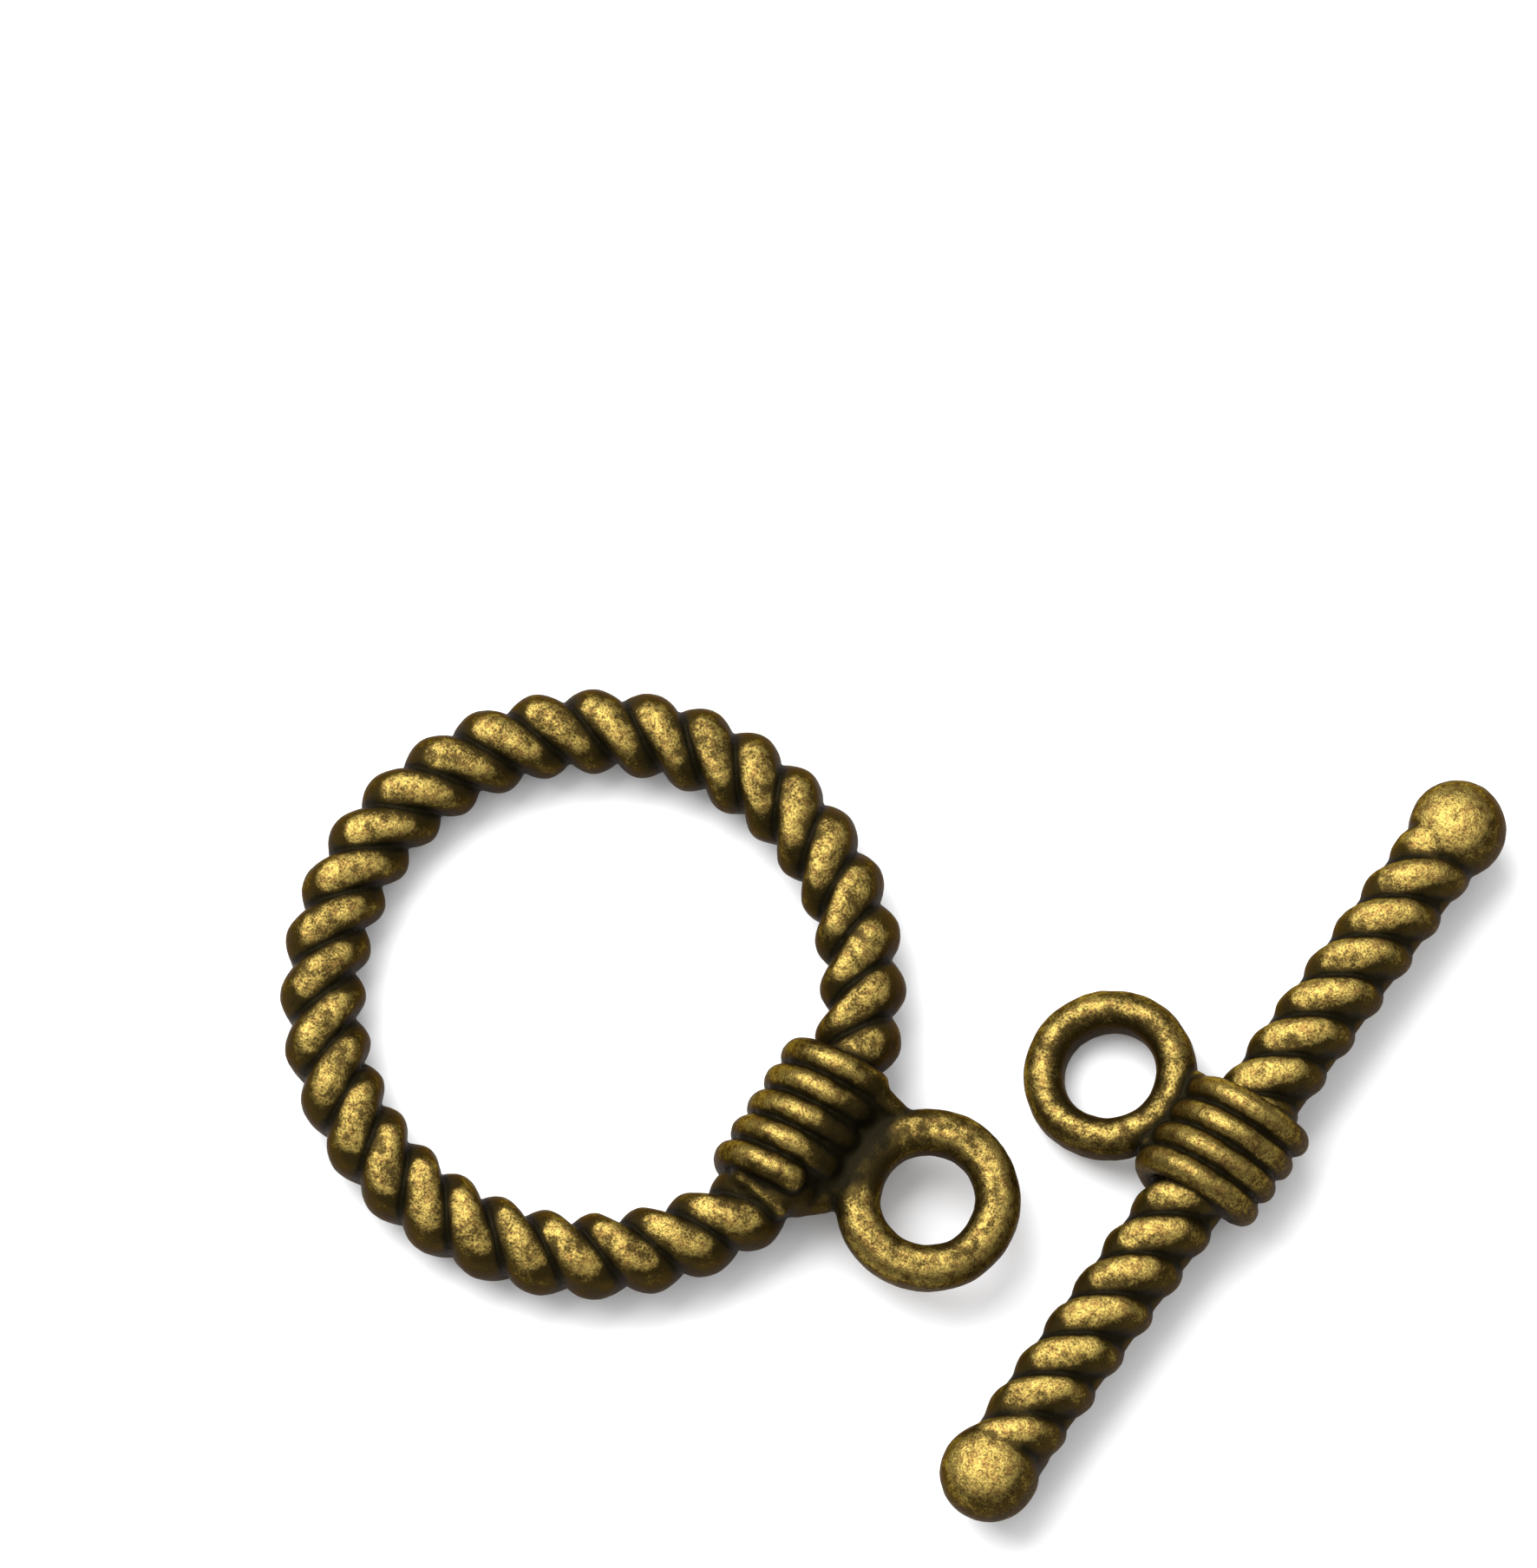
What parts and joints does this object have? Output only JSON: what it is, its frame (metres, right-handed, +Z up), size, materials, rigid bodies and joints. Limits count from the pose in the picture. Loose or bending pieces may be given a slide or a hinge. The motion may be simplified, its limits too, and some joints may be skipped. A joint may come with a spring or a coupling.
{
  "type": "toggle clasp",
  "caption": "Toggle clasp for a necklace or bracelet: a rope-twist ring and a rope-twist bar, each cast in one piece with a wound collar and a round loop, lying side by side.",
  "frame": {"origin": "centre of the rope ring's eye, on the surface that the clasp lies on", "axes": "+Z up, +X from the ring's centre towards the ring's loop, +Y to the left of that"},
  "size_m": [0.0255, 0.0247, 0.0034],
  "materials": {
    "antique_bronze": "bronze-coloured plating, brushed bright on the crests, with a near-black brown patina in the grooves and fine speckled grain"
  },
  "bodies": {
    "root": {"toggle_ring": "antique_bronze", "toggle_bar": "antique_bronze"}
  },
  "joints": []
}
